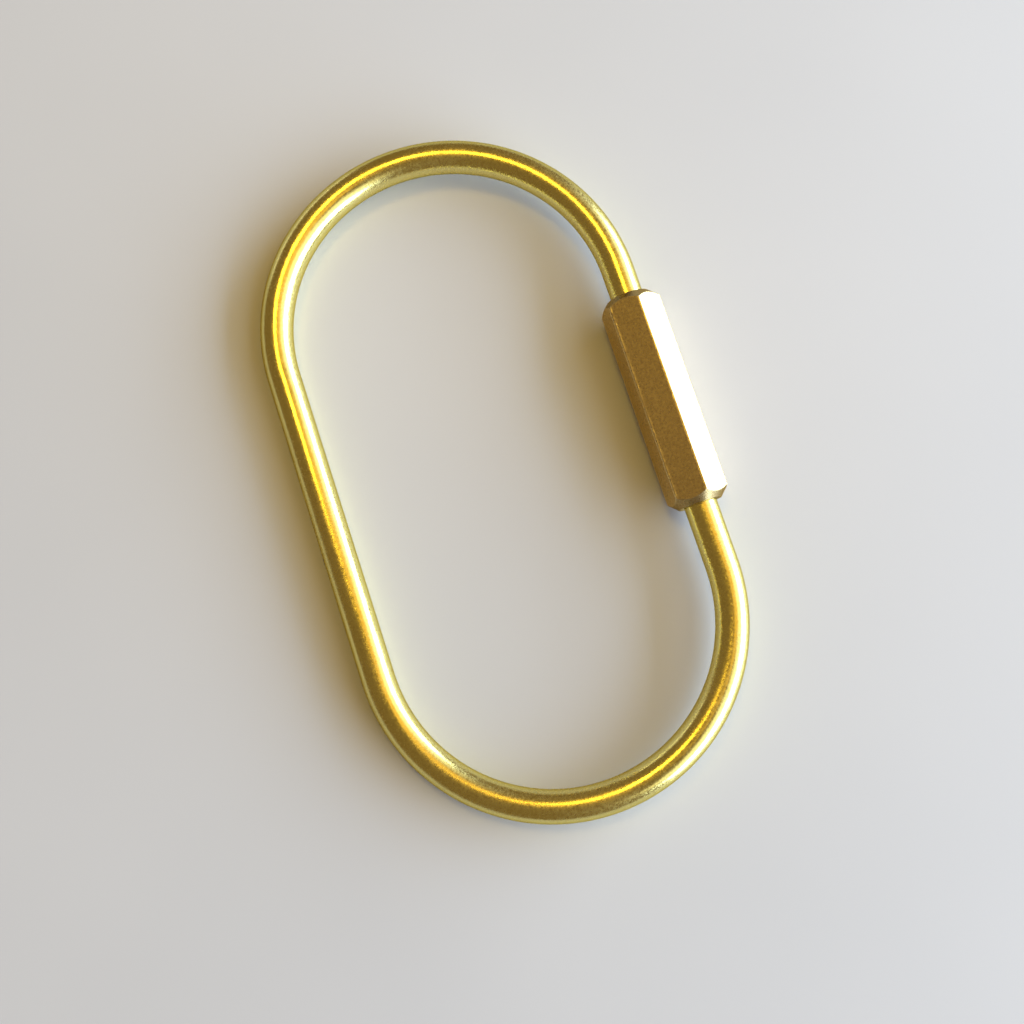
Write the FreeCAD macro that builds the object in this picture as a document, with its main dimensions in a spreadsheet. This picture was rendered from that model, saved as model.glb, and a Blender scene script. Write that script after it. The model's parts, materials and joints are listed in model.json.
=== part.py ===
import FreeCAD, Part
import Sketcher
import math
import os

# Screw-lock key ring: an oval loop of round brass wire with a gap in one straight
# side, and a long hexagonal sleeve that closes the gap.
#
# Frame, in millimetres: the loop lies flat in the XY plane with its centre at the
# origin and its long axis along Y.  The gap and the sleeve are on the +X side.
# The upper wire end points towards -Y and the lower wire end towards +Y.

doc = FreeCAD.newDocument("ScrewLockKeyRing")

# ---------------------------------------------------------------- named sizes
# Each size that somebody may want to change is a plain number, written once.
SIZES = [
    ("wire_dia", "3.0", "round wire"),
    ("bend_radius", "16.0", "centreline radius of both half-round ends"),
    ("half_straight", "14.25", "half the length of each straight side"),
    ("sleeve_flats", "5.0", "hexagon across flats"),
    ("sleeve_length", "20.0", "hexagon end to end"),
    ("sleeve_offset", "1.5", "middle of the closed sleeve above the loop's middle"),
    ("sleeve_roll", "20.0", "turn of the hexagon about the wire, in degrees"),
    ("face_dia", "4.0", "flat end face left inside the 45 degree chamfer"),
    ("crown_radius", "12.0", "slight outward curve of the chamfer's slope"),
    ("edge_round", "0.12", "rounding of the six long edges"),
    ("thread_pitch", "0.5", "M3 coarse"),
    ("grip_turns", "7", "turns of thread engaged when closed"),
    ("mouth_depth", "0.5", "plain counterbore above the sleeve's thread"),
    ("mouth_bevel", "0.3", "bevel of the lower mouth"),
    ("bore_gap", "0.2", "radial clearance of wire in plain bore"),
    ("thread_gap", "0.06", "radial clearance over the thread crests"),
    ("flank_gap", "0.03", "axial clearance on each thread flank"),
    ("tip_bevel", "0.4", "bevel on both wire ends"),
    ("ring_rise", "3.6", "middle of the friction ring above the lower mouth"),
    ("ring_width", "1.0", "friction ring along the wire"),
    ("ring_gap", "0.05", "clearance of the friction ring in its groove"),
    ("ring_play", "0.02", "radial clearance of the friction ring on the wire"),
    ("groove_depth", "0.25", "depth of the ring's groove in the bore wall"),
]

# Everything below follows from the sizes above.
DERIVED = [
    ("wire_radius", "=wire_dia / 2"),
    ("bore_radius", "=wire_radius + bore_gap"),
    ("corner_radius", "=sleeve_flats / sqrt(3)"),
    ("half_flats", "=sleeve_flats / 2"),
    ("half_sleeve", "=sleeve_length / 2"),
    ("face_radius", "=face_dia / 2"),
    ("sleeve_top", "=sleeve_offset + half_sleeve"),
    ("thread_top", "=half_sleeve - mouth_depth"),
    ("thread_low", "=thread_top - grip_turns * thread_pitch"),
    # The sleeve can run down the straight wire and a little way on to the bend.
    ("run_straight", "=half_straight + sleeve_offset - half_sleeve"),
    ("run_bend", "=0.95 * sqrt(2 * bend_radius * bore_gap)"),
    ("open_turns", "=floor((run_straight + run_bend) / thread_pitch)"),
    ("travel", "=open_turns * thread_pitch"),
    ("tip_upper", "=sleeve_offset + thread_low"),
    ("tip_lower", "=sleeve_top - travel"),
    # Thread form: 60 degree flanks, so the half width grows by tan(30) of the depth.
    ("flank", "=tan(30 deg)"),
    ("root_radius", "=wire_radius - 0.6 * thread_pitch"),
    ("cut_radius", "=wire_radius + 0.08 * thread_pitch"),
    # Half widths of the groove in the wire, at its mouth and at its root.
    ("cut_crest", "=0.4375 * thread_pitch + flank * (cut_radius - wire_radius)"),
    ("cut_root", "=0.4375 * thread_pitch - flank * (wire_radius - root_radius)"),
    ("nut_minor", "=root_radius + 0.16 * thread_pitch"),
    ("nut_major", "=wire_radius + thread_gap"),
    ("nut_inner", "=nut_minor - 0.1 * thread_pitch"),
    # Half widths of the groove in the sleeve, at the wire's surface and either side.
    ("nut_half", "=0.0625 * thread_pitch + flank_gap"),
    ("nut_crest", "=nut_half - flank * thread_gap"),
    ("nut_root", "=nut_half + flank * (wire_radius - nut_inner)"),
    ("start_upper", "=tip_upper - thread_pitch"),
    ("start_lower", "=start_upper - travel"),
    ("start_nut", "=thread_low - 1.5 * thread_pitch"),
    ("height_upper", "=(grip_turns + 1.5) * thread_pitch"),
    ("height_lower", "=tip_lower + thread_pitch - start_lower"),
    ("height_nut", "=half_sleeve - start_nut"),
    ("ring_middle", "=ring_rise - half_sleeve"),
    ("ring_low", "=ring_middle - ring_width / 2"),
    ("ring_high", "=ring_middle + ring_width / 2"),
    ("groove_radius", "=bore_radius + groove_depth"),
]

sheet = doc.addObject("Spreadsheet::Sheet", "Sizes")
row = 1
for alias, value, note in SIZES:
    sheet.set("A%d" % row, alias)
    sheet.set("B%d" % row, value)
    sheet.set("C%d" % row, note)
    sheet.setAlias("B%d" % row, alias)
    row += 1
for alias, formula in DERIVED:
    sheet.set("A%d" % row, alias)
    sheet.set("B%d" % row, formula)
    sheet.setAlias("B%d" % row, alias)
    row += 1
doc.recompute()


# -------------------------------------------------------------------- helpers
def worth(expression):
    """The number that an expression gives with the present sizes."""
    return float(sheet.evalExpression(expression))


def new_body(label):
    body = doc.addObject("PartDesign::Body", label)
    body.Label = label
    return body


def plane_of(body, role):
    """One of the body's own origin planes, such as XY_Plane."""
    for feature in body.Origin.OriginFeatures:
        if feature.Role == role:
            return feature
    raise RuntimeError("no plane " + role)


def new_sketch(body, name, role):
    sketch = body.newObject("Sketcher::SketchObject", name)
    sketch.AttachmentSupport = [(plane_of(body, role), "")]
    sketch.MapMode = "FlatFace"
    return sketch


def pin(sketch, edge, end, across, up):
    """Holds one point of a sketch at two expressions, or on an axis where one is 0."""
    for kind, expression, axis in (("DistanceX", across, -2), ("DistanceY", up, -1)):
        if expression == "0":
            sketch.addConstraint(Sketcher.Constraint("PointOnObject", edge, end, axis))
            continue
        index = sketch.addConstraint(
            Sketcher.Constraint(kind, -1, 1, edge, end, worth(expression))
        )
        sketch.setExpression("Constraints[%d]" % index, expression)


def outline(sketch, corners):
    """A closed outline of straight edges through corners given as expressions."""
    places = [FreeCAD.Vector(worth(a), worth(b), 0) for a, b in corners]
    count = len(places)
    for i in range(count):
        sketch.addGeometry(Part.LineSegment(places[i], places[(i + 1) % count]))
    for i in range(count):
        following = (i + 1) % count
        sketch.addConstraint(Sketcher.Constraint("Coincident", i, 2, following, 1))
    for i, (across, up) in enumerate(corners):
        pin(sketch, i, 1, across, up)


def cut_checked(body, feature):
    """Recomputes and makes sure that a cut took material away."""
    before = body.Tip.BaseFeature.Shape.Volume if body.Tip.BaseFeature else 0
    doc.recompute()
    if not feature.Shape.Volume < before:
        raise RuntimeError(feature.Name + " cut nothing")


def turned_cut(body, name, sketch):
    """A groove turned about the body's Y axis."""
    groove = body.newObject("PartDesign::Groove", name)
    groove.Profile = sketch
    groove.ReferenceAxis = (sketch, ["V_Axis"])
    groove.Angle = 360
    cut_checked(body, groove)
    return groove


def thread_cut(body, name, centre, start, height, inner, outer, at_inner, at_outer):
    """A right-hand helical cut about an axis parallel to Y through x = centre."""
    sketch = new_sketch(body, name + "Outline", "XY_Plane")
    sketch.setExpression("AttachmentOffset.Base.x", centre)
    sketch.setExpression("AttachmentOffset.Base.y", start)
    outline(
        sketch,
        [
            (inner, "-" + at_inner),
            (outer, "-" + at_outer),
            (outer, at_outer),
            (inner, at_inner),
        ],
    )
    doc.recompute()
    helix = body.newObject("PartDesign::SubtractiveHelix", name)
    helix.Profile = sketch
    helix.ReferenceAxis = (sketch, ["V_Axis"])
    helix.Mode = 0
    helix.setExpression("Pitch", "Sizes.thread_pitch")
    helix.setExpression("Height", height)
    helix.Angle = 0
    helix.LeftHanded = False
    helix.Reversed = False
    cut_checked(body, helix)
    return helix


# ------------------------------------------------------------------ wire loop
# One wire: down from the upper end's tip, round both half-round ends and back up
# to the lower end's tip, always tangent.
loop = new_body("wire_loop")
route = new_sketch(loop, "WireRoute", "XY_Plane")
radius = worth("Sizes.bend_radius")
straight = worth("Sizes.half_straight")
up_z = FreeCAD.Vector(0, 0, 1)
right_upper = [
    FreeCAD.Vector(radius, worth("Sizes.tip_upper"), 0),
    FreeCAD.Vector(radius, straight, 0),
]
left_side = [FreeCAD.Vector(-radius, straight, 0), FreeCAD.Vector(-radius, -straight, 0)]
right_lower = [
    FreeCAD.Vector(radius, -straight, 0),
    FreeCAD.Vector(radius, worth("Sizes.tip_lower"), 0),
]
upper_circle = Part.Circle(FreeCAD.Vector(0, straight, 0), up_z, radius)
lower_circle = Part.Circle(FreeCAD.Vector(0, -straight, 0), up_z, radius)
half_turn = math.pi
route.addGeometry(Part.LineSegment(*right_upper))
route.addGeometry(Part.ArcOfCircle(upper_circle, 0, half_turn))
route.addGeometry(Part.LineSegment(*left_side))
route.addGeometry(Part.ArcOfCircle(lower_circle, half_turn, 2 * half_turn))
route.addGeometry(Part.LineSegment(*right_lower))
for edge in range(4):
    route.addConstraint(Sketcher.Constraint("Coincident", edge, 2, edge + 1, 1))
pin(route, 0, 1, "Sizes.bend_radius", "Sizes.tip_upper")
pin(route, 0, 2, "Sizes.bend_radius", "Sizes.half_straight")
pin(route, 2, 1, "-Sizes.bend_radius", "Sizes.half_straight")
pin(route, 2, 2, "-Sizes.bend_radius", "-Sizes.half_straight")
pin(route, 4, 1, "Sizes.bend_radius", "-Sizes.half_straight")
pin(route, 4, 2, "Sizes.bend_radius", "Sizes.tip_lower")
for edge, height in ((1, "Sizes.half_straight"), (3, "-Sizes.half_straight")):
    index = route.addConstraint(
        Sketcher.Constraint("DistanceY", -1, 1, edge, 3, worth(height))
    )
    route.setExpression("Constraints[%d]" % index, height)

section = new_sketch(loop, "WireSection", "XZ_Plane")
section.setExpression("AttachmentOffset.Base.x", "Sizes.bend_radius")
section.setExpression("AttachmentOffset.Base.z", "-Sizes.tip_upper")
section.addGeometry(Part.Circle(FreeCAD.Vector(0, 0, 0), up_z, worth("Sizes.wire_radius")))
section.addConstraint(Sketcher.Constraint("Coincident", 0, 3, -1, 1))
section.addConstraint(Sketcher.Constraint("Radius", 0, worth("Sizes.wire_radius")))
section.setExpression("Constraints[1]", "Sizes.wire_radius")
doc.recompute()

wire = loop.newObject("PartDesign::AdditivePipe", "Wire")
wire.Profile = section
wire.Spine = (route, ["Edge%d" % (i + 1) for i in range(5)])
wire.Transition = "Transformed"
doc.recompute()


def tip_edges(shape, height):
    """The rim of the wire end that lies at one height."""
    names = []
    for i, edge in enumerate(shape.Edges):
        box = edge.BoundBox
        if abs(box.YMin - height) < 1e-4 and abs(box.YMax - height) < 1e-4 and box.XMin > 0:
            names.append("Edge%d" % (i + 1))
    return names


tips = loop.newObject("PartDesign::Chamfer", "TipBevels")
rims = tip_edges(wire.Shape, worth("Sizes.tip_upper"))
rims += tip_edges(wire.Shape, worth("Sizes.tip_lower"))
tips.Base = (wire, rims)
tips.setExpression("Size", "Sizes.tip_bevel")
cut_checked(loop, tips)

# Both ends carry the same M3 helix, a whole number of pitches apart, so that the
# sleeve leaves one thread and takes up the other without a jump.
for name, start, height in (
    ("UpperThread", "Sizes.start_upper", "Sizes.height_upper"),
    ("LowerThread", "Sizes.start_lower", "Sizes.height_lower"),
):
    thread_cut(
        loop,
        name,
        "Sizes.bend_radius",
        start,
        height,
        "Sizes.root_radius",
        "Sizes.cut_radius",
        "Sizes.cut_root",
        "Sizes.cut_crest",
    )

# --------------------------------------------------------------------- sleeve
# The sleeve's own frame has its origin at the middle of the bore, bore along Y.
sleeve = new_body("hex_sleeve")
sleeve.setExpression("Placement.Base.x", "Sizes.bend_radius")
sleeve.setExpression("Placement.Base.y", "Sizes.sleeve_offset")
hexagon = new_sketch(sleeve, "Hexagon", "XZ_Plane")
hexagon.setExpression("AttachmentOffset.Rotation.Angle", "Sizes.sleeve_roll")
outline(
    hexagon,
    [
        ("Sizes.corner_radius", "0"),
        ("Sizes.corner_radius / 2", "Sizes.half_flats"),
        ("-Sizes.corner_radius / 2", "Sizes.half_flats"),
        ("-Sizes.corner_radius", "0"),
        ("-Sizes.corner_radius / 2", "-Sizes.half_flats"),
        ("Sizes.corner_radius / 2", "-Sizes.half_flats"),
    ],
)
doc.recompute()
bar = sleeve.newObject("PartDesign::Pad", "HexBar")
bar.Profile = hexagon
bar.setExpression("Length", "Sizes.sleeve_length")
bar.Midplane = True
doc.recompute()

long_edges = []
for i, edge in enumerate(bar.Shape.Edges):
    if edge.BoundBox.YLength > worth("Sizes.half_sleeve"):
        long_edges.append("Edge%d" % (i + 1))
rounding = sleeve.newObject("PartDesign::Fillet", "EdgeRounding")
rounding.Base = (bar, long_edges)
rounding.setExpression("Radius", "Sizes.edge_round")
cut_checked(sleeve, rounding)

# Both ends are turned to 45 degrees, with a very slightly crowned slope, which takes
# the corners off and leaves a curved lower edge on each flat.
reach = 2.0
crown = worth("Sizes.crown_radius")
rise = math.asin(reach / math.sqrt(2) / crown)
for name, sign in (("UpperChamfer", 1), ("LowerChamfer", -1)):
    inner = worth("Sizes.face_radius")
    end = sign * worth("Sizes.half_sleeve")
    sketch = new_sketch(sleeve, name + "Outline", "XY_Plane")
    slope = math.sqrt(crown**2 - reach**2 / 2) / math.sqrt(2)
    centre = FreeCAD.Vector(inner + reach / 2 - slope, end - sign * (reach / 2 + slope), 0)
    middle = sign * math.pi / 4
    circle = Part.Circle(centre, up_z, crown)
    sketch.addGeometry(Part.ArcOfCircle(circle, middle - rise, middle + rise))
    foot = FreeCAD.Vector(inner + reach, end - sign * reach, 0)
    corner = FreeCAD.Vector(inner + reach, end, 0)
    sketch.addGeometry(Part.LineSegment(foot, corner))
    sketch.addGeometry(Part.LineSegment(corner, FreeCAD.Vector(inner, end, 0)))
    low, high = (1, 2) if sign > 0 else (2, 1)
    sketch.addConstraint(Sketcher.Constraint("Coincident", 0, low, 1, 1))
    sketch.addConstraint(Sketcher.Constraint("Coincident", 1, 2, 2, 1))
    sketch.addConstraint(Sketcher.Constraint("Coincident", 2, 2, 0, high))
    side = "" if sign > 0 else "-"
    pin(sketch, 2, 2, "Sizes.face_radius", side + "Sizes.half_sleeve")
    pin(sketch, 2, 1, "Sizes.face_radius + 2", side + "Sizes.half_sleeve")
    pin(sketch, 1, 1, "Sizes.face_radius + 2", side + "(Sizes.half_sleeve - 2)")
    index = sketch.addConstraint(Sketcher.Constraint("Radius", 0, crown))
    sketch.setExpression("Constraints[%d]" % index, "Sizes.crown_radius")
    turned_cut(sleeve, name, sketch)

# The bore: bevelled lower mouth, groove for the friction ring, plain length, the
# short threaded length near the upper end, and the counterbore that hides the
# thread's run-out on the wire.
bore = new_sketch(sleeve, "BoreOutline", "XY_Plane")
outline(
    bore,
    [
        ("0", "-Sizes.half_sleeve - 1"),
        ("Sizes.bore_radius + Sizes.mouth_bevel", "-Sizes.half_sleeve - 1"),
        ("Sizes.bore_radius + Sizes.mouth_bevel", "-Sizes.half_sleeve"),
        ("Sizes.bore_radius", "Sizes.mouth_bevel - Sizes.half_sleeve"),
        ("Sizes.bore_radius", "Sizes.ring_low - Sizes.ring_gap"),
        ("Sizes.groove_radius", "Sizes.ring_low - Sizes.ring_gap"),
        ("Sizes.groove_radius", "Sizes.ring_high + Sizes.ring_gap"),
        ("Sizes.bore_radius", "Sizes.ring_high + Sizes.ring_gap"),
        ("Sizes.bore_radius", "Sizes.thread_low"),
        ("Sizes.nut_minor", "Sizes.thread_low"),
        ("Sizes.nut_minor", "Sizes.thread_top"),
        ("Sizes.bore_radius", "Sizes.thread_top"),
        ("Sizes.bore_radius", "Sizes.half_sleeve + 1"),
        ("0", "Sizes.half_sleeve + 1"),
    ],
)
turned_cut(sleeve, "Bore", bore)
thread_cut(
    sleeve,
    "SleeveThread",
    "0",
    "Sizes.start_nut",
    "Sizes.height_nut",
    "Sizes.nut_inner",
    "Sizes.nut_major",
    "Sizes.nut_root",
    "Sizes.nut_crest",
)

# -------------------------------------------------------------- friction ring
# A plain ring held in the bore's groove.  It grips the wire and slides along it
# with the sleeve, and the sleeve turns round it.
ring = new_body("friction_ring")
ring.setExpression("Placement.Base.x", "Sizes.bend_radius")
ring.setExpression("Placement.Base.y", "Sizes.sleeve_offset")
ring_outline = new_sketch(ring, "RingOutline", "XY_Plane")
outline(
    ring_outline,
    [
        ("Sizes.wire_radius + Sizes.ring_play", "Sizes.ring_low"),
        ("Sizes.groove_radius - Sizes.ring_gap", "Sizes.ring_low"),
        ("Sizes.groove_radius - Sizes.ring_gap", "Sizes.ring_high"),
        ("Sizes.wire_radius + Sizes.ring_play", "Sizes.ring_high"),
    ],
)
doc.recompute()
turned = ring.newObject("PartDesign::Revolution", "Ring")
turned.Profile = ring_outline
turned.ReferenceAxis = (ring_outline, ["V_Axis"])
turned.Angle = 360
doc.recompute()

# ---------------------------------------------------------- checks and export
for item in doc.Objects:
    if "Invalid" in item.State or "Error" in item.State:
        raise RuntimeError("bad feature " + item.Label)
os.makedirs("parts", exist_ok=True)
for body in (loop, sleeve, ring):
    shape = body.Shape
    if shape.isNull() or not shape.isValid() or len(shape.Solids) != 1:
        raise RuntimeError("bad solid " + body.Label)
    shape.exportStep("parts/" + body.Label + ".step")
    print(body.Label, "volume mm3", round(shape.Volume, 2), shape.BoundBox)
print("travel", worth("Sizes.travel"), "turns", worth("Sizes.open_turns"))
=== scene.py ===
# %% [markdown]
# # A screw-lock key ring in brass
# The real thing is a flat oval bent from round brass wire.  One straight side has a
# gap, and a long hexagonal sleeve screws along the wire to close it.  The CAD model
# is the frame: every surface here is laid over a CAD body, in metres, so nothing is
# fitted by eye.

# %% Load the frame
import json
import math

import bpy
import numpy as np
from mathutils import Matrix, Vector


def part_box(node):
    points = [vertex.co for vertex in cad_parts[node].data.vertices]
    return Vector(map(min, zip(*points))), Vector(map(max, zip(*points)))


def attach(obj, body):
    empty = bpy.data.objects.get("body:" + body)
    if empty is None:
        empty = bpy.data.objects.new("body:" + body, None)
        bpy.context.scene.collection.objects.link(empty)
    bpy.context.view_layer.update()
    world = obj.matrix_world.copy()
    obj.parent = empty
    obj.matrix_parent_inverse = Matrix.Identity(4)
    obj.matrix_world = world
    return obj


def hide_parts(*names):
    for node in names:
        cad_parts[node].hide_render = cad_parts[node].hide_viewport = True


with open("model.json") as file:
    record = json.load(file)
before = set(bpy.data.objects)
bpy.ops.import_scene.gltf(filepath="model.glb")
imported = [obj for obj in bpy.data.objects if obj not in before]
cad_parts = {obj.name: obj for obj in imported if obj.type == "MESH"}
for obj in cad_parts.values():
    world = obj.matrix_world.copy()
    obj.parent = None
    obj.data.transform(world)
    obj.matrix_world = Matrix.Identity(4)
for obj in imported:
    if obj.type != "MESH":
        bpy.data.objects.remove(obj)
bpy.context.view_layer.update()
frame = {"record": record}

# %% [markdown]
# ## Sizes
# Lengths are read back from the CAD nodes' boxes, so that the surfaces follow the
# model if it changes.  Only sizes that a box can't show, such as the pitch of the
# thread, are written down.

# %% Sizes from the CAD boxes
MM = 0.001
loop_low, loop_high = (np.array(corner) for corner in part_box("wire_loop"))
sleeve_low, sleeve_high = (np.array(corner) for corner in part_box("hex_sleeve"))
ring_low, ring_high = (np.array(corner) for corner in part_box("friction_ring"))

wire_radius = (loop_high[2] - loop_low[2]) / 2
bend_radius = (loop_high[0] - loop_low[0]) / 2 - wire_radius
half_straight = (loop_high[1] - loop_low[1]) / 2 - wire_radius - bend_radius
sleeve_top = sleeve_high[1]
sleeve_foot = sleeve_low[1]
travel = max(frame["record"]["behaviour"]["joints"][0]["range_m"])
print("wire radius", wire_radius, "bend radius", bend_radius, "half straight", half_straight)
print("sleeve from", sleeve_foot, "to", sleeve_top, "travel", travel)

# %% Sizes of thread and bar
pitch = 0.5 * MM
grip = 7 * pitch
counterbore = 0.5 * MM
mouth_bevel = 0.3 * MM
bore_radius = wire_radius + 0.2 * MM
half_flats = 2.5 * MM
face_radius = 2.0 * MM
edge_round = 0.12 * MM
sleeve_roll = math.radians(20)
tip_bevel = 0.4 * MM
ring_gap = 0.05 * MM
ring_play = 0.02 * MM
tip_upper = sleeve_top - counterbore - grip
tip_lower = sleeve_top - travel
print("wire tips at", tip_upper, "and", tip_lower, "gap", tip_upper - tip_lower)

# %% Depths and widths of the grooves in the wire's and the sleeve's threads
wire_groove = {"depth": 0.31 * MM, "mouth": 0.228 * MM, "root": 0.055 * MM}
sleeve_groove = {"depth": 0.28 * MM, "mouth": 0.198 * MM, "root": 0.036 * MM}
sleeve_thread_radius = wire_radius - 0.22 * MM
print("thread's smallest radius in the sleeve", sleeve_thread_radius)

# %% [markdown]
# ## Camera
# The ring lies flat and is seen from almost straight above.  The camera stands about
# 110 mm over it and is turned so that the long axis leans to the left.

# %% Camera
eye = np.array([-3.5, -18.1, 108.9]) * MM
aim = np.array([-0.2, -3.9, 0.0]) * MM
to_the_right = np.array([0.949, -0.315, 0.0])


def unit(vector):
    """The vector divided by its own length."""
    return np.asarray(vector) / np.linalg.norm(vector)


back = unit(eye - aim)
right = unit(to_the_right - back * np.dot(to_the_right, back))
up = np.cross(back, right)
camera_data = bpy.data.cameras.new("camera")
camera_data.sensor_width = 36
camera_data.lens = 43.2
camera_data.clip_start = 0.001
camera = bpy.data.objects.new("camera", camera_data)
bpy.context.collection.objects.link(camera)
stand = np.eye(4)
stand[:3, 0], stand[:3, 1], stand[:3, 2], stand[:3, 3] = right, up, back, eye
camera.matrix_world = Matrix(stand.tolist())
bpy.context.scene.camera = camera
print("camera stands", round(float(np.linalg.norm(eye - aim)) * 1000, 1), "mm away")

# %% [markdown]
# ## From a grid of points to a mesh
# Each piece is a surface worked out on a grid: rows run one way, columns the other,
# and both neighbours of a point are known from its place in the array.  One helper
# turns any such grid into a mesh.  A closed direction joins its last line of points
# to its first, so there is no seam.


# %% Grid helper
def grid_faces(rows, columns, close_rows, close_columns):
    """Quads between neighbouring grid points; a closed direction wraps round."""
    r = np.arange(rows if close_rows else rows - 1)
    c = np.arange(columns if close_columns else columns - 1)
    r, c = (a.ravel() for a in np.meshgrid(r, c, indexing="ij"))
    r_next, c_next = (r + 1) % rows, (c + 1) % columns
    corners = (r * columns + c, r * columns + c_next)
    far = (r_next * columns + c_next, r_next * columns + c)
    return np.stack(corners + far, axis=1)


def make_mesh(name, points, faces, fans=()):
    """A smooth mesh from points (n, 3), quads (m, 4) and triangles (k, 3).  The sum of
    corner . (next x far) over the faces is six times the volume: if it is negative the
    faces look inwards, and every one is turned round."""
    mesh = bpy.data.meshes.new(name)
    fans = np.array(fans, dtype=np.int64).reshape(-1, 3)
    a, b, c, d = (points[faces[:, i]] for i in range(4))
    six_volumes = (a * np.cross(b, c)).sum() + (a * np.cross(c, d)).sum()
    if six_volumes < 0:
        faces, fans = faces[:, ::-1], fans[:, ::-1]
    loops = np.concatenate([faces.ravel(), fans.ravel()])
    starts = np.concatenate(
        [np.arange(len(faces)) * 4, len(faces) * 4 + np.arange(len(fans)) * 3]
    )
    mesh.vertices.add(len(points))
    mesh.vertices.foreach_set("co", np.asarray(points, dtype=np.float32).ravel())
    mesh.loops.add(len(loops))
    mesh.loops.foreach_set("vertex_index", loops.astype(np.int32))
    mesh.polygons.add(len(starts))
    mesh.polygons.foreach_set("loop_start", starts.astype(np.int32))
    mesh.polygons.foreach_set("use_smooth", np.ones(len(starts), dtype=bool))
    mesh.update(calc_edges=True)
    mesh.validate()
    piece = bpy.data.objects.new(name, mesh)
    bpy.context.collection.objects.link(piece)
    print(name, len(points), "points", len(faces) * 2 + len(fans), "triangles")
    return piece


def add_attribute(piece, name, values):
    """Stores one number, or one vector, per point for a material to read."""
    values = np.asarray(values, dtype=np.float32)
    kind, field = ("FLOAT", "value") if values.ndim == 1 else ("FLOAT_VECTOR", "vector")
    attribute = piece.data.attributes.new(name, kind, "POINT")
    attribute.data.foreach_set(field, values.ravel())


# %% [markdown]
# ## The wire
# The loop is one piece of drawn wire.  Its centreline is two straight sides and two
# half circles, and the surface is a circle carried along that line.  Both ends carry
# an M3 thread: there the circle's radius dips along a helix.  The rows are packed
# close together on the threads and on the bevelled tips, and wider apart elsewhere.


# %% Thread form
def groove(phase, depth, mouth, root):
    """Depth of a 60 degree groove: full within `root` of its middle line, nothing
    beyond `mouth`, straight flanks between.  Phase 0 is the middle, 1 one pitch on."""
    away = np.abs((phase + 0.5) % 1.0 - 0.5) * pitch
    return depth * np.clip((mouth - away) / (mouth - root), 0, 1)


def helix_phase(height, turn):
    """How far, in pitches, a point at this height and turn is from the helix line of
    a right-hand thread that passes through the upper tip at zero turn."""
    return (height - tip_upper) / pitch - turn / (2 * math.pi)


# %% Centreline of the wire
def path_heights():
    """Distances along the wire for each row: fine on tips and threads."""
    upper_run = half_straight - tip_upper
    lower_run = half_straight + tip_lower
    bend = math.pi * bend_radius
    total = upper_run + bend + 2 * half_straight + bend + lower_run
    fine_step = pitch / 18
    upper_fine = np.arange(0, sleeve_top - counterbore / 2 - tip_upper, fine_step)
    lower_fine = total - np.arange(0, tip_lower - tip_upper + pitch + travel, fine_step)
    plain = np.linspace(upper_fine[-1], lower_fine[-1], 760)[1:-1]
    return np.concatenate([upper_fine, plain, lower_fine[::-1]]), total


def centreline(s):
    """Point and direction at distance s: up the right side from the upper tip, round
    the upper bend, down the left side, round the lower bend and up to the other tip."""
    upper_run = half_straight - tip_upper
    bend = math.pi * bend_radius
    marks = np.cumsum([0, upper_run, bend, 2 * half_straight, bend])
    part = np.clip(np.searchsorted(marks, s, side="right") - 1, 0, 4)
    d = s - marks[part]
    angle = d / bend_radius
    zero = np.zeros_like(s)
    x = np.select(
        [part == 0, part == 1, part == 2, part == 3],
        [zero + bend_radius, bend_radius * np.cos(angle), zero - bend_radius,
         -bend_radius * np.cos(angle)],
        zero + bend_radius,
    )
    y = np.select(
        [part == 0, part == 1, part == 2, part == 3],
        [tip_upper + d, half_straight + bend_radius * np.sin(angle), half_straight - d,
         -half_straight - bend_radius * np.sin(angle)],
        d - half_straight,
    )
    along_x = np.select([part == 1, part == 3], [-np.sin(angle), np.sin(angle)], 0.0)
    along_y = np.select(
        [part == 1, part == 2, part == 3], [np.cos(angle), zero - 1, -np.cos(angle)], 1.0
    )
    return x, y, along_x, along_y


s, wire_length = path_heights()
line_x, line_y, along_x, along_y = centreline(s)
print("wire length", round(wire_length * 1000, 2), "mm in", len(s), "rows")

# %% Surface of the wire
columns = 72
turn = np.linspace(0, 2 * math.pi, columns, endpoint=False)
S, T = np.meshgrid(s, turn, indexing="ij")
out_x, out_y = along_y[:, None], -along_x[:, None]
straight = np.abs(along_x) < 1e-9
on_right = (line_x > 0) & straight
height = line_y[:, None] + 0 * T
# Seen from the tips, the sideways direction is +X on the way up both right-hand runs.
around = -T
upper_zone = on_right & (line_y > tip_upper - pitch) & (s < wire_length / 2)
lower_zone = on_right & (line_y < tip_lower + pitch) & (s > wire_length / 2)
fade = np.where(
    upper_zone,
    np.clip((sleeve_top - counterbore + 0.75 * pitch - line_y) / (0.5 * pitch), 0, 1),
    np.where(
        lower_zone,
        np.clip((line_y - (tip_upper - travel - 1.4 * pitch)) / (0.5 * pitch), 0, 1),
        0.0,
    ),
)
cut = groove(helix_phase(height, around), **wire_groove)
from_tip = np.minimum(s, wire_length - s)[:, None]
bevel = np.maximum(wire_radius - tip_bevel + from_tip, 0)
radius = np.minimum(wire_radius - cut * fade[:, None], bevel)
points = np.stack(
    [
        line_x[:, None] + radius * np.cos(T) * out_x,
        line_y[:, None] + radius * np.cos(T) * out_y,
        radius * np.sin(T) + 0 * line_x[:, None],
    ],
    axis=-1,
)
ends = np.array([[line_x[0], line_y[0], 0], [line_x[-1], line_y[-1], 0]])
all_points = np.concatenate([points.reshape(-1, 3), ends])
faces = grid_faces(len(s), columns, False, True)
near, last = np.arange(columns), (len(s) - 1) * columns + np.arange(columns)
first_fan = np.stack([np.full(columns, len(all_points) - 2), np.roll(near, -1), near], 1)
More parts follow.
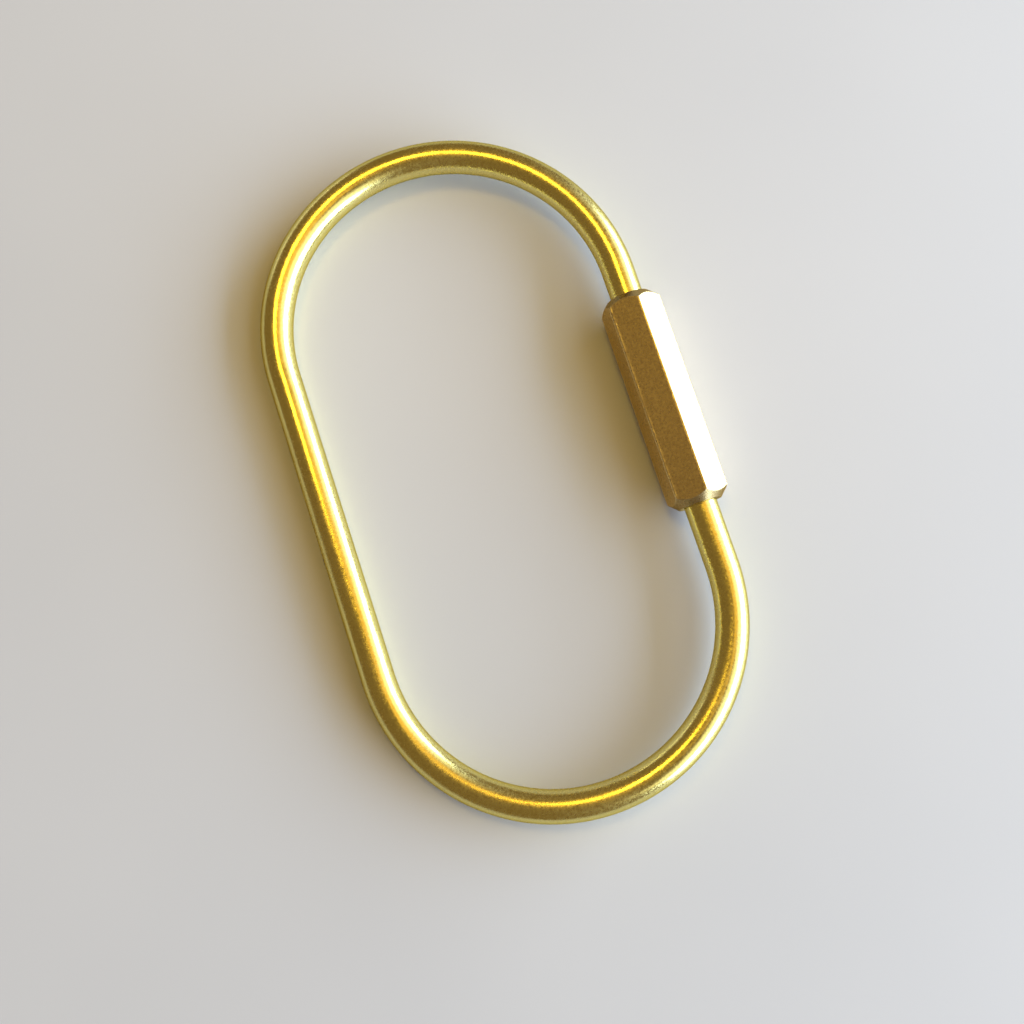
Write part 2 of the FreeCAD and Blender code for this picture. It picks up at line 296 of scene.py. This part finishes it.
last_fan = np.stack([np.full(columns, len(all_points) - 1), last, np.roll(last, -1)], 1)
wire = make_mesh("wire_surface", all_points, faces, np.concatenate([first_fan, last_fan]))

# %% Wire coordinates for its material
unrolled = np.stack([S, wire_radius * np.cos(T), wire_radius * np.sin(T)], -1) / MM
unrolled = np.concatenate([unrolled.reshape(-1, 3), [[0, 0, 0], [wire_length / MM, 0, 0]]])
add_attribute(wire, "wire_mm", unrolled)
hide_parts("wire_loop")
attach(wire, "loop")

# %% [markdown]
# ## The sleeve
# The sleeve is a 20 mm length of 5 mm hexagon bar, drilled through, threaded for its
# top few millimetres and turned to 45 degrees at both ends.  Its outline runs out of
# the bore, over the end face, along the outside, over the other end face and back
# down the bore, so the surface closes on itself like a ring.  Round the bar the
# radius follows a rounded hexagon; near the ends it is held under the cone.


# %% Rounded hexagon
def hexagon_turns(flat_points, round_points):
    """Turning angles for one round of the bar, close together on the six edges."""
    half_round = math.atan2(edge_round / 2, half_flats - edge_round * 0.1)
    flats = np.sin(np.linspace(-1, 1, flat_points) * math.pi / 2)
    flats = flats * (math.pi / 6 - half_round)
    rounds = np.linspace(-1, 1, round_points + 2)[1:-1] * half_round
    one_side = np.concatenate([flats, math.pi / 6 + rounds])
    return (one_side[None, :] + np.arange(6)[:, None] * math.pi / 3).ravel()


def hexagon_radius(angle):
    """Distance from the axis to a hexagon with rounded edges: the flat's distance over
    the cosine of the angle from its middle, or the rounding circle near an edge."""
    a = np.abs((angle + math.pi / 6) % (math.pi / 3) - math.pi / 6)
    flat = half_flats / np.cos(a)
    centre = (half_flats - edge_round) / math.cos(math.pi / 6)
    off = math.pi / 6 - a
    circle = centre * np.cos(off) + np.sqrt(
        np.maximum(edge_round**2 - (centre * np.sin(off)) ** 2, 0)
    )
    meets = math.atan2(edge_round / 2, centre + edge_round * math.cos(math.pi / 6))
    return np.where(off < meets, circle, flat)


def softer_min(a, b, blend):
    """The smaller of two lengths, with the corner between them rounded by `blend`."""
    h = np.clip(0.5 + 0.5 * (b - a) / blend, 0, 1)
    return b + (a - b) * h - blend * h * (1 - h)


bar_turn = hexagon_turns(26, 8)
print("columns round the bar", len(bar_turn))

# %% [markdown]
# Each point of the outline is a radius and a height.  On the outside and on the thread
# the radius comes from the hexagon or the helix, so the first number isn't used.  On a
# shoulder it is the share of the way from the bore, 0, to the thread, 1.

# %% Profile of the sleeve, out of the bore and back
thread_top = sleeve_top - counterbore
groove_low = ring_low[1] - ring_gap
groove_high = ring_high[1] + ring_gap
groove_radius = (ring_high[0] - ring_low[0]) / 2 + ring_gap


def run(a, b, count):
    """`count` points from a towards b, leaving out b."""
    steps = np.linspace(0, 1, count, endpoint=False)[:, None]
    return np.array(a) + (np.array(b) - np.array(a)) * steps


cone = half_flats / math.cos(math.pi / 6) - face_radius
lip = bore_radius + mouth_bevel
bevel_top = sleeve_foot + mouth_bevel
thread_foot = thread_top - grip
on_hexagon = 0.0
parts = [
    ("bore", run((bore_radius, bevel_top), (lip, sleeve_foot), 4)),
    ("face", run((lip, sleeve_foot), (face_radius, sleeve_foot), 4)),
    ("outside", run((on_hexagon, sleeve_foot), (on_hexagon, sleeve_foot + cone), 44)),
    ("outside", run((on_hexagon, sleeve_foot + cone), (on_hexagon, sleeve_top - cone), 40)),
    ("outside", run((on_hexagon, sleeve_top - cone), (on_hexagon, sleeve_top), 44)),
    ("face", run((face_radius, sleeve_top), (bore_radius, sleeve_top), 4)),
    ("bore", run((bore_radius, sleeve_top), (bore_radius, thread_top), 5)),
    ("shoulder", run((0, thread_top), (1, thread_top), 4)),
    ("thread", run((1, thread_top), (1, thread_foot), 126)),
    ("shoulder", run((1, thread_foot), (0, thread_foot), 4)),
    ("bore", run((bore_radius, thread_foot), (bore_radius, groove_high), 12)),
    ("bore", run((bore_radius, groove_high), (groove_radius, groove_high), 3)),
    ("bore", run((groove_radius, groove_high), (groove_radius, groove_low), 3)),
    ("bore", run((groove_radius, groove_low), (bore_radius, groove_low), 3)),
    ("bore", run((bore_radius, groove_low), (bore_radius, bevel_top), 6)),
]
kind = np.concatenate([[name] * len(rows) for name, rows in parts])
profile = np.concatenate([rows for name, rows in parts])
print("rows in the sleeve's outline", len(profile))

# %% Surface of the sleeve
P_radius, A = np.meshgrid(profile[:, 0], bar_turn, indexing="ij")
P_height = profile[:, 1][:, None] + 0 * A
from_end = np.minimum(P_height - sleeve_foot, sleeve_top - P_height)
cone_blend = 0.04 * MM
bar = softer_min(hexagon_radius(A), face_radius + from_end, cone_blend)
true_turn = A + sleeve_roll - math.pi / 6
phase = helix_phase(P_height, -true_turn) + 0.5
thread = sleeve_thread_radius + groove(phase, **sleeve_groove)
shoulder = bore_radius + (thread - bore_radius) * P_radius
sleeve_radius = np.select(
    [(kind == name)[:, None] for name in ("outside", "thread", "shoulder")],
    [bar, thread, shoulder],
    P_radius,
)
sleeve_axis = (sleeve_low[0] + sleeve_high[0]) / 2
points = np.stack(
    [
        sleeve_axis + sleeve_radius * np.cos(true_turn),
        P_height,
        sleeve_radius * np.sin(true_turn),
    ],
    axis=-1,
)
faces = grid_faces(len(profile), len(bar_turn), True, True)
sleeve = make_mesh("sleeve_surface", points.reshape(-1, 3), faces)

# %% [markdown]
# Handling rubs the paler metal bare in two thin lines beside each edge of the bar, and
# more faintly where the flats meet the cones; these pale lines are also a painted
# highlight, standing in for the light that the rounded edges catch.  The two numbers
# stored for each point say how strong that wear and painted highlight is and whether
# a lathe tool has cut it.


# %% Wear with a painted edge highlight, and turned surfaces of the sleeve
def bump(distance, middle, width):
    """exp(-((distance - middle) / width)^2): 1 at the middle, soon 0 beyond the width."""
    return np.exp(-(((distance - middle) / width) ** 2))


outside = (kind == "outside")[:, None]
to_edge = np.abs(A % (math.pi / 3) - math.pi / 6) * half_flats
to_cone = hexagon_radius(A) - face_radius - from_end
on_cone = to_cone > 0
# Painted highlight: the pale lines beside the edges, at the cone line and on the end rims are
# partly wear, partly a painted edge highlight.
edge = np.where(outside & ~on_cone, bump(to_edge, 0.11 * MM, 0.035 * MM), 0)
edge = np.maximum(edge, np.where(outside, 0.25 * bump(to_cone, 0, 0.05 * MM), 0))
edge = np.where(outside & (from_end < 0.04 * MM), 0.2, edge)
turned_part = on_cone | ~outside
print("points in the wear lines", int((edge > 0.5).sum()), "of", edge.size)
add_attribute(sleeve, "edge", edge.ravel())
add_attribute(sleeve, "turned", turned_part.ravel().astype(float))
unrolled = np.stack(
    [
        P_height,
        sleeve_radius * np.cos(true_turn),
        sleeve_radius * np.sin(true_turn),
    ],
    axis=-1,
)
add_attribute(sleeve, "bar_mm", unrolled.reshape(-1, 3) / MM)
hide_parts("hex_sleeve")
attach(sleeve, "sleeve")

# %% [markdown]
# ## The friction ring
# A small nylon ring sits in a groove of the bore and grips the wire.  It is hidden
# when the ring is closed, but it belongs to the assembly, so it has its own surface:
# a flat-sided section with rounded corners, turned about the wire.

# %% Surface of the friction ring
section_points, round_points = 32, 96
section_turn = np.linspace(0, 2 * math.pi, section_points, endpoint=False)
ring_turn = np.linspace(0, 2 * math.pi, round_points, endpoint=False)
ring_outer = (ring_high[0] - ring_low[0]) / 2
ring_inner = wire_radius + ring_play
half_thick = (ring_outer - ring_inner) / 2
half_wide = (ring_high[1] - ring_low[1]) / 2


def squared(wave):
    """A cosine or sine pushed towards a square: the sign times its 0.35th power."""
    return np.sign(wave) * np.abs(wave) ** 0.35


U, V = np.meshgrid(section_turn, ring_turn, indexing="ij")
ring_radius = ring_outer - half_thick + half_thick * squared(np.cos(U))
points = np.stack(
    [
        sleeve_axis + ring_radius * np.cos(V),
        (ring_low[1] + ring_high[1]) / 2 + half_wide * squared(np.sin(U)),
        ring_radius * np.sin(V),
    ],
    axis=-1,
)
faces = grid_faces(section_points, round_points, True, True)
friction = make_mesh("friction_ring_surface", points.reshape(-1, 3), faces)
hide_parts("friction_ring")
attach(friction, "ring")

# %% [markdown]
# ## Finishes
# Metals show their surroundings, so most of a brass finish is its roughness and its
# fine relief.  Each brass below mixes a few noises in the piece's own millimetres: long
# ones along the bar, short ones across it, and a grain that is the same all ways.  A
# specular tint darker than the metal keeps the grazing edges from going pale.


# %% Helpers for node materials
def start_material(name, attribute):
    """A node material, its principled shader and the attribute it is drawn on."""
    material = bpy.data.materials.new(name)
    material.use_nodes = True
    tree = material.node_tree
    shader = tree.nodes["Principled BSDF"]
    source = tree.nodes.new("ShaderNodeAttribute")
    source.attribute_name = attribute
    return material, tree, shader, source.outputs["Vector"]


def noise(tree, vector, stretch, detail=3.0, roughness=0.55):
    """Noise whose cells are 1 / stretch millimetres long in each direction."""
    mapping = tree.nodes.new("ShaderNodeMapping")
    mapping.inputs["Scale"].default_value = stretch
    texture = tree.nodes.new("ShaderNodeTexNoise")
    texture.inputs["Scale"].default_value = 1.0
    texture.inputs["Detail"].default_value = detail
    texture.inputs["Roughness"].default_value = roughness
    tree.links.new(vector, mapping.inputs["Vector"])
    tree.links.new(mapping.outputs["Vector"], texture.inputs["Vector"])
    return texture.outputs["Fac"]


def spread(tree, value, low, high, to_low, to_high):
    """Moves values between low and high to between to_low and to_high."""
    node = tree.nodes.new("ShaderNodeMapRange")
    for socket, number in zip(("From Min", "From Max", "To Min", "To Max"),
                              (low, high, to_low, to_high)):
        node.inputs[socket].default_value = number
    tree.links.new(value, node.inputs["Value"])
    return node.outputs["Result"]


def calculate(tree, kind, a, b):
    """A Math node of two values, each a socket or a number."""
    node = tree.nodes.new("ShaderNodeMath")
    node.operation = kind
    for socket, value in zip(node.inputs, (a, b)):
        if isinstance(value, (int, float)):
            socket.default_value = value
        else:
            tree.links.new(value, socket)
    return node.outputs["Value"]


def blend_colours(tree, amount, first, second):
    """First colour where amount is 0, second where it is 1; each a colour or socket."""
    node = tree.nodes.new("ShaderNodeMix")
    node.data_type = "RGBA"
    tree.links.new(amount, node.inputs["Factor"])
    for socket, value in ((node.inputs[6], first), (node.inputs[7], second)):
        if isinstance(value, tuple):
            socket.default_value = (*value, 1)
        else:
            tree.links.new(value, socket)
    return node.outputs[2]


def relief(tree, height, depth, below=None):
    """A Bump node for a height from 0 to 1 that is `depth` metres tall."""
    node = tree.nodes.new("ShaderNodeBump")
    node.inputs["Strength"].default_value = 1.0
    node.inputs["Distance"].default_value = depth
    tree.links.new(height, node.inputs["Height"])
    if below is not None:
        tree.links.new(below, node.inputs["Normal"])
    return node.outputs["Normal"]


# %% Drawn brass wire
material, tree, shader, mm = start_material("drawn_brass", "wire_mm")
patches = noise(tree, mm, (0.12, 0.35, 0.35), 4.0)
grain = noise(tree, mm, (4.5, 4.5, 4.5), 4.0, 0.6)
draw_lines = noise(tree, mm, (0.35, 6.0, 6.0), 3.0)
cross_marks = noise(tree, mm, (6.0, 1.2, 1.2), 3.0)
waves = noise(tree, mm, (0.9, 0.7, 0.7), 2.0)
colour = blend_colours(
    tree, spread(tree, patches, 0.35, 0.7, 0, 1), (0.85, 0.75, 0.27), (0.80, 0.69, 0.26)
)
speckle = spread(tree, grain, 0.30, 0.48, 0.35, 0.0)
colour = blend_colours(tree, speckle, colour, (0.55, 0.42, 0.12))
tree.links.new(colour, shader.inputs["Base Color"])
shader.inputs["Specular Tint"].default_value = (0.62, 0.52, 0.22, 1)
rough = calculate(
    tree, "ADD", spread(tree, patches, 0.3, 0.7, 0.18, 0.28),
    spread(tree, grain, 0.3, 0.7, -0.05, 0.08),
)
tree.links.new(rough, shader.inputs["Roughness"])
shader.inputs["Metallic"].default_value = 1.0
normal = relief(tree, waves, 0.016 * MM)
normal = relief(tree, cross_marks, 0.0025 * MM, normal)
normal = relief(tree, draw_lines, 0.0040 * MM, normal)
normal = relief(tree, grain, 0.0050 * MM, normal)
tree.links.new(normal, shader.inputs["Normal"])
wire.data.materials.append(material)
print("material", material.name, len(tree.nodes), "nodes")

# %% Satin brass bar
material, tree, shader, mm = start_material("satin_brass_bar", "bar_mm")
patches = noise(tree, mm, (0.10, 0.4, 0.4), 4.0)
grain = noise(tree, mm, (5.0, 5.0, 5.0), 3.0, 0.6)
bar_lines = noise(tree, mm, (0.25, 7.0, 7.0), 3.0)
tool_marks = noise(tree, mm, (16.0, 0.3, 0.3), 2.0)
edge_source = tree.nodes.new("ShaderNodeAttribute")
edge_source.attribute_name = "edge"
turned_source = tree.nodes.new("ShaderNodeAttribute")
turned_source.attribute_name = "turned"
wear_and_sheen_patches = noise(tree, mm, (1.6, 2.5, 2.5), 4.0, 0.65)
worn_and_sheen = calculate(
    tree, "MULTIPLY", edge_source.outputs["Fac"],
    spread(tree, wear_and_sheen_patches, 0.35, 0.6, 0.3, 1),
)
colour = blend_colours(
    tree, spread(tree, patches, 0.3, 0.7, 0, 1), (0.83, 0.66, 0.355), (0.75, 0.59, 0.31)
)
colour = blend_colours(tree, spread(tree, grain, 0.3, 0.65, 0.32, 0), colour, (0.46, 0.32, 0.13))
colour = blend_colours(tree, turned_source.outputs["Fac"], colour, (0.46, 0.35, 0.17))
# The pale colour (1.0, 0.84, 0.54) is partly bare worn brass and partly a painted highlight along
# the edges.
colour = blend_colours(tree, worn_and_sheen, colour, (1.0, 0.84, 0.54))
shader.inputs["Specular Tint"].default_value = (0.70, 0.56, 0.34, 1)
tree.links.new(colour, shader.inputs["Base Color"])
rough = calculate(
    tree, "ADD", spread(tree, grain, 0.3, 0.7, 0.24, 0.34), calculate(tree, "MULTIPLY", worn_and_sheen, 0.16)
)
tree.links.new(rough, shader.inputs["Roughness"])
shader.inputs["Metallic"].default_value = 1.0
normal = relief(tree, bar_lines, 0.0020 * MM)
normal = relief(
    tree, calculate(tree, "MULTIPLY", tool_marks, turned_source.outputs["Fac"]), 0.006 * MM, normal
)
normal = relief(tree, grain, 0.006 * MM, normal)
normal = relief(tree, calculate(tree, "MULTIPLY", wear_and_sheen_patches, worn_and_sheen), 0.02 * MM, normal)
tree.links.new(normal, shader.inputs["Normal"])
sleeve.data.materials.append(material)
print("material", material.name, len(tree.nodes), "nodes")

# %% Natural nylon
material = bpy.data.materials.new("natural_nylon")
material.use_nodes = True
tree = material.node_tree
shader = tree.nodes["Principled BSDF"]
place = tree.nodes.new("ShaderNodeTexCoord").outputs["Object"]
cloud = noise(tree, place, (900.0, 900.0, 900.0), 3.0)
tree.links.new(
    blend_colours(tree, cloud, (0.80, 0.78, 0.70), (0.70, 0.68, 0.60)),
    shader.inputs["Base Color"],
)
tree.links.new(spread(tree, cloud, 0.3, 0.7, 0.4, 0.55), shader.inputs["Roughness"])
tree.links.new(relief(tree, cloud, 0.003 * MM), shader.inputs["Normal"])
friction.data.materials.append(material)
print("material", material.name, len(tree.nodes), "nodes")

# %% [markdown]
# ## How it lies
# The sleeve is thicker than the wire, so the loop lies on the sleeve's lowest edge and
# on the far side of the wire, tipped by a couple of degrees.  The model's frame stays
# square to the loop, so it is the floor that is tipped here.  The slope is found by
# halving: at the right slope the floor touches both sides at once.


# %% Find the floor's slope
def lowest(piece, slope):
    """Least height of a piece above the plane z = slope * x."""
    place = np.empty(len(piece.data.vertices) * 3, dtype=np.float32)
    piece.data.vertices.foreach_get("co", place)
    place = place.reshape(-1, 3)
    return float((place[:, 2] - slope * place[:, 0]).min())


shallow, steep = -0.2, 0.2
halvings = 40
for step in range(halvings):
    slope = (shallow + steep) / 2
    if lowest(sleeve, slope) < lowest(wire, slope):
        steep = slope
    else:
        shallow = slope
floor_height = min(lowest(sleeve, slope), lowest(wire, slope))
print("floor tips by", round(math.degrees(math.atan(slope)), 2), "degrees")

# %% [markdown]
# The floor is a pale sheet three metres across, faintly clouded.  It is a little blue,
# which the warm room and lamps bring back to grey.

# %% Floor
reach = 1.5
corner_x = np.array([-reach, reach, reach, -reach])
corner_y = np.array([-reach, -reach, reach, reach])
floor_points = np.stack([corner_x, corner_y, floor_height + slope * corner_x], axis=1)
floor_mesh = bpy.data.meshes.new("floor")
floor_mesh.from_pydata(floor_points.tolist(), [], [(0, 1, 2, 3)])
floor = bpy.data.objects.new("floor", floor_mesh)
bpy.context.collection.objects.link(floor)
material = bpy.data.materials.new("pale_floor")
material.use_nodes = True
tree = material.node_tree
shader = tree.nodes["Principled BSDF"]
place = tree.nodes.new("ShaderNodeTexCoord").outputs["Object"]
soft = noise(tree, place, (14.0, 14.0, 14.0), 3.0)
clouds = spread(tree, soft, 0.35, 0.65, 0, 1)
tree.links.new(
    blend_colours(tree, clouds, (0.69, 0.725, 0.80), (0.655, 0.69, 0.765)),
    shader.inputs["Base Color"],
)
shader.inputs["Roughness"].default_value = 0.45
floor_mesh.materials.append(material)
print("floor", 2 * reach, "m across at height", floor_height)

# %% [markdown]
# ## Light
# A wide soft window stands low on the right, with a dimmer sill under it and a pale
# blind over it.  It burns out on every surface that leans that way.  A thin far window
# low on the other side gives the left rims a cool edge.  Overhead, a small warm lamp
# draws one thin gold line along the wire, and a wider, fainter shade widens it on the
# right.  A dim warm room fills the rest: its colour is set apart for what the camera
# sees, for diffuse light and for reflections.


# %% Window, lamp and room
def panel(name, centre, width, height, watts, colour):
    """A rectangular light that faces the middle of the ring."""
    light = bpy.data.lights.new(name, "AREA")
    light.shape = "RECTANGLE"
    light.size, light.size_y = width, height
    light.energy = watts
    light.color = colour
    lamp = bpy.data.objects.new(name, light)
    bpy.context.collection.objects.link(lamp)
    out = unit(centre)
    side = unit(np.cross([0, 0, 1], out))
    stand = np.eye(4)
    stand[:3, 0], stand[:3, 1], stand[:3, 2] = side, np.cross(out, side), out
    stand[:3, 3] = centre
    lamp.matrix_world = Matrix(stand.tolist())
    print(name, "at", np.round(centre, 3), watts, "W")


panel("window", np.array([0.542, -0.180, 0.185]), 1.4, 0.345, 9.9, (0.70, 0.83, 0.99))
panel("sill", np.array([0.560, -0.186, 0.075]), 1.4, 0.135, 2.4, (0.69, 0.83, 1.0))
panel("blind", np.array([0.388, -0.129, 0.439]), 1.2, 0.275, 1.25, (0.95, 0.95, 0.80))
panel("far_window", np.array([-0.27, 0.535, 0.055]), 0.36, 0.06, 0.10, (0.95, 1.0, 1.0))
panel("lamp", np.array([-0.01, 0.145, 0.42]), 0.10, 0.10, 0.30, (1.0, 0.66, 0.08))
panel("shade", np.array([0.17, 0.03, 0.42]), 0.24, 0.24, 0.17, (1.0, 0.60, 0.10))
world = bpy.data.worlds.new("room")
world.use_nodes = True
tree = world.node_tree
path = tree.nodes.new("ShaderNodeLightPath")
room = blend_colours(
    tree, path.outputs["Is Diffuse Ray"], (0.206, 0.141, 0.062), (0.165, 0.112, 0.070)
)
room = blend_colours(tree, path.outputs["Is Camera Ray"], room, (0.60, 0.59, 0.58))
tree.links.new(room, tree.nodes["Background"].inputs["Color"])
tree.nodes["Background"].inputs["Strength"].default_value = 1.0
bpy.context.scene.world = world
bpy.context.scene.view_settings.view_transform = "Standard"
